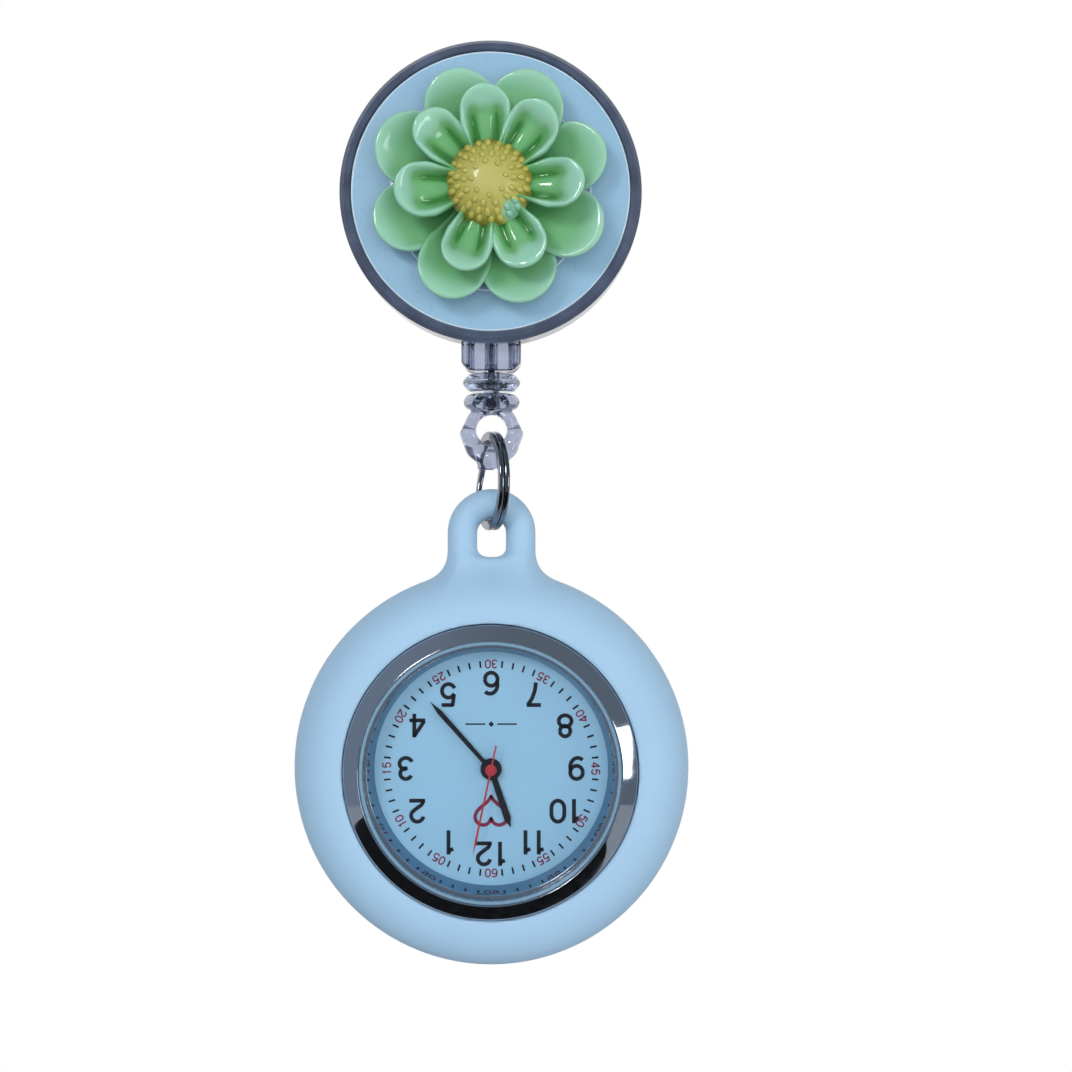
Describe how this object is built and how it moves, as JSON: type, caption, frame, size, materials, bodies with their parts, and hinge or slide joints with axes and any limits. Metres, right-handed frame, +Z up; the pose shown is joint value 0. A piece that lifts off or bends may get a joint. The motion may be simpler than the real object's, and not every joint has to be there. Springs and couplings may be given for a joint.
{
  "type": "fob watch",
  "caption": "Hanging pocket watch with a soft sleeve and an upside-down dial, on a split ring under a retractable cord reel with a flower on its front and a clip behind.",
  "frame": {"origin": "midpoint between the two jaw tips of the clip, where the cloth is gripped", "axes": "+Z up along the hanging chain, -Y out of the front of the reel and the dial, +X to the right as seen from the front"},
  "size_m": [0.0426, 0.0266, 0.0986],
  "materials": {
    "steel": "satin",
    "spring_steel": "satin",
    "chrome_bezel": "polished",
    "smoked_plastic": "gloss",
    "clear_plastic": "gloss",
    "pale_blue_plastic": "satin",
    "petal_green": "gloss",
    "petal_pale_green": "gloss",
    "flower_yellow": "satin",
    "silicone_blue": "matte",
    "white_plastic": "satin",
    "black_cord": "matte",
    "crystal": "gloss",
    "dial_blue": "satin",
    "black_hands": "gloss",
    "red_hand": "gloss",
    "brass": "satin",
    "plate_metal": "satin",
    "magnet": "satin",
    "copper_coil": "gloss",
    "green_board": "satin",
    "black_rubber": "matte"
  },
  "bodies": {
    "clip": {"clip_base": "steel", "clip_pin": "steel", "clip_spring": "spring_steel"},
    "clip_lever": {"clip_lever": "steel"},
    "reel": {"swivel_rivet": "steel", "reel_back_shell": "smoked_plastic", "reel_front_shell": "smoked_plastic", "hub_screw": "steel", "insert_disc": "pale_blue_plastic", "flower_pad": "clear_plastic", "flower_outer_petals": "petal_green", "flower_inner_petals": "petal_pale_green", "flower_centre": "flower_yellow", "cord_guide": "clear_plastic", "power_spring": "spring_steel", "cord_lead": "black_cord", "cord_run": "black_cord"},
    "spool": {"spool": "white_plastic", "cord_winding": "black_cord"},
    "cord_end": {"stop_cap": "clear_plastic", "eye_lug": "clear_plastic", "cord_knot": "black_cord"},
    "link": {"split_ring": "steel"},
    "watch": {"silicone_sleeve": "silicone_blue", "bezel": "chrome_bezel", "case_middle": "steel", "crystal": "crystal", "crystal_gasket": "white_plastic", "dial_ring": "chrome_bezel", "dial": "dial_blue", "stator": "spring_steel", "coil": "copper_coil", "circuit_board": "green_board", "quartz_can": "steel", "battery": "steel", "battery_contact": "brass", "main_plate": "plate_metal", "train_bridge": "plate_metal", "bridge_screws": "steel", "movement_holder": "white_plastic", "case_back": "steel", "back_gasket": "black_rubber"},
    "seconds": {"second_hand": "red_hand", "fourth_wheel": "brass"},
    "minutes": {"minute_hand": "black_hands", "centre_wheel": "brass"},
    "hours": {"hour_hand": "black_hands", "hour_wheel": "brass"},
    "minute_work": {"minute_wheel": "brass"},
    "third": {"third_wheel": "brass"},
    "intermediate": {"intermediate_wheel": "brass"},
    "rotor": {"rotor": "magnet"},
    "clutch": {"clutch_wheel": "steel"},
    "crown": {"stem": "steel", "crown": "steel"},
    "setting": {"setting_lever": "spring_steel"}
  },
  "joints": [
    {"name": "clip_jaw", "type": "hinge", "parent": "clip", "child": "clip_lever", "pos_m": [0, 0, 0.014], "axis": [1, 0, 0], "range_deg": [0, 30], "stiffness_Nm_per_rad": 0.03, "springref_deg": -68.75, "deforming": ["clip_spring"]},
    {"name": "reel_swivel", "type": "hinge", "parent": "clip", "child": "reel", "pos_m": [0, 0, 0.0095], "axis": [0, 1, 0], "continuous": true},
    {"name": "cord_pull", "type": "slide", "parent": "reel", "child": "cord_end", "axis": [0, 0, -1], "range_m": [0, 0.6], "stiffness_N_per_m": 1, "springref_m": -0.6, "deforming": ["cord_run"]},
    {"name": "spool_spin", "type": "hinge", "parent": "reel", "child": "spool", "pos_m": [0, 0, 0.0095], "axis": [0, 1, 0], "range_deg": [0, 3825]},
    {"name": "link_swing", "type": "hinge", "parent": "cord_end", "child": "link", "pos_m": [0, -0.0077, -0.0155], "axis": [0, 1, 0], "range_deg": [-40, 40]},
    {"name": "watch_tilt", "type": "hinge", "parent": "link", "child": "watch", "pos_m": [0, -0.0077, -0.02097], "axis": [0.9563, 0.2924, 0], "range_deg": [-90, 15]},
    {"name": "seconds_spin", "type": "hinge", "parent": "watch", "child": "seconds", "pos_m": [0, -0.0077, -0.05185], "axis": [0, 1, 0], "continuous": true},
    {"name": "minutes_spin", "type": "hinge", "parent": "watch", "child": "minutes", "pos_m": [0, -0.0077, -0.05185], "axis": [0, 1, 0], "continuous": true},
    {"name": "hours_spin", "type": "hinge", "parent": "watch", "child": "hours", "pos_m": [0, -0.0077, -0.05185], "axis": [0, 1, 0], "continuous": true},
    {"name": "minute_work_spin", "type": "hinge", "parent": "watch", "child": "minute_work", "pos_m": [-0.00208, -0.0077, -0.05065], "axis": [0, 1, 0], "continuous": true},
    {"name": "third_spin", "type": "hinge", "parent": "watch", "child": "third", "pos_m": [0, -0.0077, -0.04879], "axis": [0, 1, 0], "continuous": true},
    {"name": "intermediate_spin", "type": "hinge", "parent": "watch", "child": "intermediate", "pos_m": [0.00153, -0.0077, -0.0545], "axis": [0, 1, 0], "continuous": true},
    {"name": "rotor_spin", "type": "hinge", "parent": "watch", "child": "rotor", "pos_m": [0.00379, -0.0077, -0.05532], "axis": [0, 1, 0], "continuous": true},
    {"name": "crown_turn", "type": "hinge", "parent": "watch", "child": "clutch", "pos_m": [-0.0055, -0.0066, -0.05185], "axis": [-1, 0, 0], "continuous": true},
    {"name": "crown_pull", "type": "slide", "parent": "clutch", "child": "crown", "axis": [-1, 0, 0], "range_m": [0, 0.0008]},
    {"name": "setting_turn", "type": "hinge", "parent": "watch", "child": "setting", "pos_m": [-0.00745, -0.0077, -0.04945], "axis": [0, 1, 0], "range_deg": [0, 20]}
  ],
  "couplings": [
    {"joint": "spool_spin", "follows": "cord_pull", "rad_per_m": 111.11},
    {"joint": "minutes_spin", "follows": "seconds_spin", "ratio": 0.016667},
    {"joint": "hours_spin", "follows": "seconds_spin", "ratio": 0.0013889},
    {"joint": "minute_work_spin", "follows": "seconds_spin", "ratio": -0.0055556},
    {"joint": "third_spin", "follows": "seconds_spin", "ratio": -0.125},
    {"joint": "intermediate_spin", "follows": "seconds_spin", "ratio": -6},
    {"joint": "rotor_spin", "follows": "seconds_spin", "ratio": 30},
    {"joint": "setting_turn", "follows": "crown_pull", "rad_per_m": 416.67}
  ]
}
